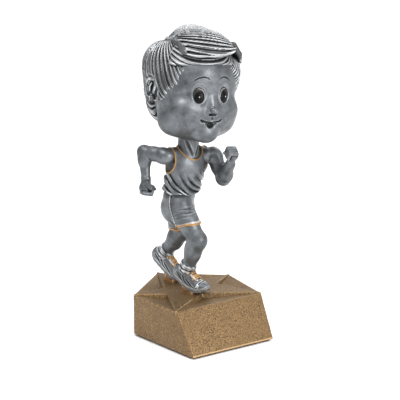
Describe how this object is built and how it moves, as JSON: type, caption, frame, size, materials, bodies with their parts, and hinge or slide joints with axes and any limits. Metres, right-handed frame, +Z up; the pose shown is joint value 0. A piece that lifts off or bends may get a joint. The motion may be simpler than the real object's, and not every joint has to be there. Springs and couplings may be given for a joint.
{
  "type": "figure trophy",
  "caption": "Award figure of a running child on a star-topped five-sided block; the oversized head nods and turns on a spring in the neck.",
  "frame": {"origin": "centre of the block's plan at the underside of the felt pad, where the trophy rests", "axes": "+Z up; the block's sloping front face looks along -Y; +X is the figure's left"},
  "size_m": [0.052, 0.0616, 0.1395],
  "materials": {
    "antique_pewter": "painted resin, antique pewter: satin metallic grey with dark wash in the recesses",
    "dark_pewter": "painted resin, dark pewter",
    "antique_gold": "painted resin, rubbed antique gold",
    "antique_bronze": "painted resin, antique bronze, finely stippled",
    "steel": "bright steel wire",
    "black_plastic": "moulded black plastic",
    "eye_black": "glossy black paint",
    "felt": "black felt"
  },
  "bodies": {
    "figure": {"base_felt": "felt", "base_block": "antique_bronze", "base_star": "antique_bronze", "right_foot_pin": "steel", "left_foot_pin": "steel", "right_foot_wedge": "antique_gold", "left_foot_wedge": "antique_gold", "right_sole": "dark_pewter", "right_shoe": "antique_pewter", "right_laces": "antique_gold", "right_sock": "antique_pewter", "right_leg": "antique_pewter", "left_sole": "dark_pewter", "left_shoe": "antique_pewter", "left_laces": "antique_gold", "left_sock": "antique_pewter", "left_leg": "antique_pewter", "shorts": "antique_pewter", "right_hem_trim": "antique_gold", "left_hem_trim": "antique_gold", "singlet": "antique_pewter", "neckline_trim": "antique_gold", "right_armhole_trim": "antique_gold", "left_armhole_trim": "antique_gold", "neck": "antique_pewter", "right_arm": "antique_pewter", "left_arm": "antique_pewter", "right_hand": "antique_pewter", "left_hand": "antique_pewter", "neck_bush": "black_plastic"},
    "spring": {"neck_spring": "steel"},
    "cup": {"spring_cup": "steel"},
    "plug": {"head_plug": "black_plastic"},
    "head": {"head": "antique_pewter", "hair": "antique_pewter", "right_ear": "antique_pewter", "right_eye": "eye_black", "left_ear": "antique_pewter", "left_eye": "eye_black"}
  },
  "joints": [
    {"name": "head_bounce", "type": "slide", "parent": "figure", "child": "spring", "axis": [0, 0, 1], "range_m": [-0.001, 0.002], "stiffness_N_per_m": 1500, "springref_m": 0.0003, "deforming": ["neck_spring"]},
    {"name": "head_nod", "type": "hinge", "parent": "spring", "child": "cup", "pos_m": [0.0001, 0.0043, 0.094], "axis": [1, 0, 0], "range_deg": [-8, 8], "stiffness_Nm_per_rad": 0.06},
    {"name": "head_tilt", "type": "hinge", "parent": "cup", "child": "plug", "pos_m": [0.0001, 0.0043, 0.094], "axis": [0, 1, 0], "range_deg": [-8, 8], "stiffness_Nm_per_rad": 0.06},
    {"name": "head_turn", "type": "hinge", "parent": "plug", "child": "head", "pos_m": [0.0001, 0.0043, 0.094], "axis": [0, 0, 1], "range_deg": [-15, 15], "stiffness_Nm_per_rad": 0.05}
  ]
}
